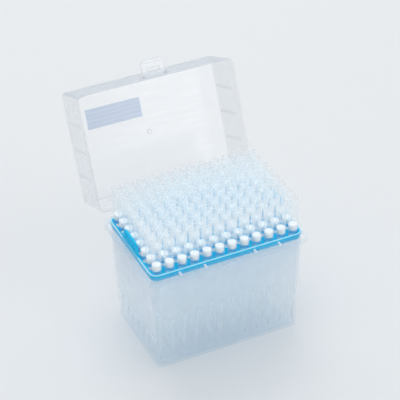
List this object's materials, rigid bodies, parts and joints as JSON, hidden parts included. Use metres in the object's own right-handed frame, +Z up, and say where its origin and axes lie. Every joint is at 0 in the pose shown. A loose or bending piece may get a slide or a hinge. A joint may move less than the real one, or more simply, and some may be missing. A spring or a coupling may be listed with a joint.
{
  "type": "pipette tip rack box",
  "caption": "Translucent hinged box with a snap latch and a blue lift-out rack that holds filter pipette tips upright on a 9 mm grid; lid shown open.",
  "frame": {"origin": "centre of the tub's flat underside", "axes": "+X along the long side, -Y to the latch side (front), +Z up"},
  "size_m": [0.1164, 0.15, 0.1667],
  "materials": {
    "clear_pp": "frosted translucent",
    "lid_pp": "clear translucent",
    "rack_pp": "satin",
    "tip_pp": "clear",
    "filter_pe": "porous matte",
    "label_film": "printed film"
  },
  "bodies": {
    "tub": {"tub": "clear_pp"},
    "lid": {"lid": "lid_pp", "label_panel": "label_film"},
    "latch": {"latch_flap": "lid_pp"},
    "rack": {"rack": "rack_pp"},
    "tips_01": {"tips_col_01": "tip_pp", "filters_col_01": "filter_pe"},
    "tips_02": {"tips_col_02": "tip_pp", "filters_col_02": "filter_pe"},
    "tips_03": {"tips_col_03": "tip_pp", "filters_col_03": "filter_pe"},
    "tips_04": {"tips_col_04": "tip_pp", "filters_col_04": "filter_pe"},
    "tips_05": {"tips_col_05": "tip_pp", "filters_col_05": "filter_pe"},
    "tips_06": {"tips_col_06": "tip_pp", "filters_col_06": "filter_pe"},
    "tips_07": {"tips_col_07": "tip_pp", "filters_col_07": "filter_pe"},
    "tips_08": {"tips_col_08": "tip_pp", "filters_col_08": "filter_pe"},
    "tips_09": {"tips_col_09": "tip_pp", "filters_col_09": "filter_pe"},
    "tips_10": {"tips_col_10": "tip_pp", "filters_col_10": "filter_pe"},
    "tips_11": {"tips_col_11": "tip_pp", "filters_col_11": "filter_pe"},
    "tips_12": {"tips_col_12": "tip_pp", "filters_col_12": "filter_pe"}
  },
  "joints": [
    {"name": "lid_hinge", "type": "hinge", "parent": "tub", "child": "lid", "pos_m": [0, 0.0426, 0.0782], "axis": [-1, 0, 0], "range_deg": [-112.85, 0]},
    {"name": "latch_hinge", "type": "hinge", "parent": "lid", "child": "latch", "pos_m": [0, 0.07663, 0.15588], "axis": [-1, 0, 0], "range_deg": [-90, 0]},
    {"name": "rack_lift", "type": "slide", "parent": "tub", "child": "rack", "axis": [0, 0, 1], "range_m": [0, 0.11]},
    {"name": "tips_lift_01", "type": "slide", "parent": "rack", "child": "tips_01", "axis": [0, 0, 1], "range_m": [0, 0.08]},
    {"name": "tips_lift_02", "type": "slide", "parent": "rack", "child": "tips_02", "axis": [0, 0, 1], "range_m": [0, 0.08]},
    {"name": "tips_lift_03", "type": "slide", "parent": "rack", "child": "tips_03", "axis": [0, 0, 1], "range_m": [0, 0.08]},
    {"name": "tips_lift_04", "type": "slide", "parent": "rack", "child": "tips_04", "axis": [0, 0, 1], "range_m": [0, 0.08]},
    {"name": "tips_lift_05", "type": "slide", "parent": "rack", "child": "tips_05", "axis": [0, 0, 1], "range_m": [0, 0.08]},
    {"name": "tips_lift_06", "type": "slide", "parent": "rack", "child": "tips_06", "axis": [0, 0, 1], "range_m": [0, 0.08]},
    {"name": "tips_lift_07", "type": "slide", "parent": "rack", "child": "tips_07", "axis": [0, 0, 1], "range_m": [0, 0.08]},
    {"name": "tips_lift_08", "type": "slide", "parent": "rack", "child": "tips_08", "axis": [0, 0, 1], "range_m": [0, 0.08]},
    {"name": "tips_lift_09", "type": "slide", "parent": "rack", "child": "tips_09", "axis": [0, 0, 1], "range_m": [0, 0.08]},
    {"name": "tips_lift_10", "type": "slide", "parent": "rack", "child": "tips_10", "axis": [0, 0, 1], "range_m": [0, 0.08]},
    {"name": "tips_lift_11", "type": "slide", "parent": "rack", "child": "tips_11", "axis": [0, 0, 1], "range_m": [0, 0.08]},
    {"name": "tips_lift_12", "type": "slide", "parent": "rack", "child": "tips_12", "axis": [0, 0, 1], "range_m": [0, 0.08]}
  ]
}
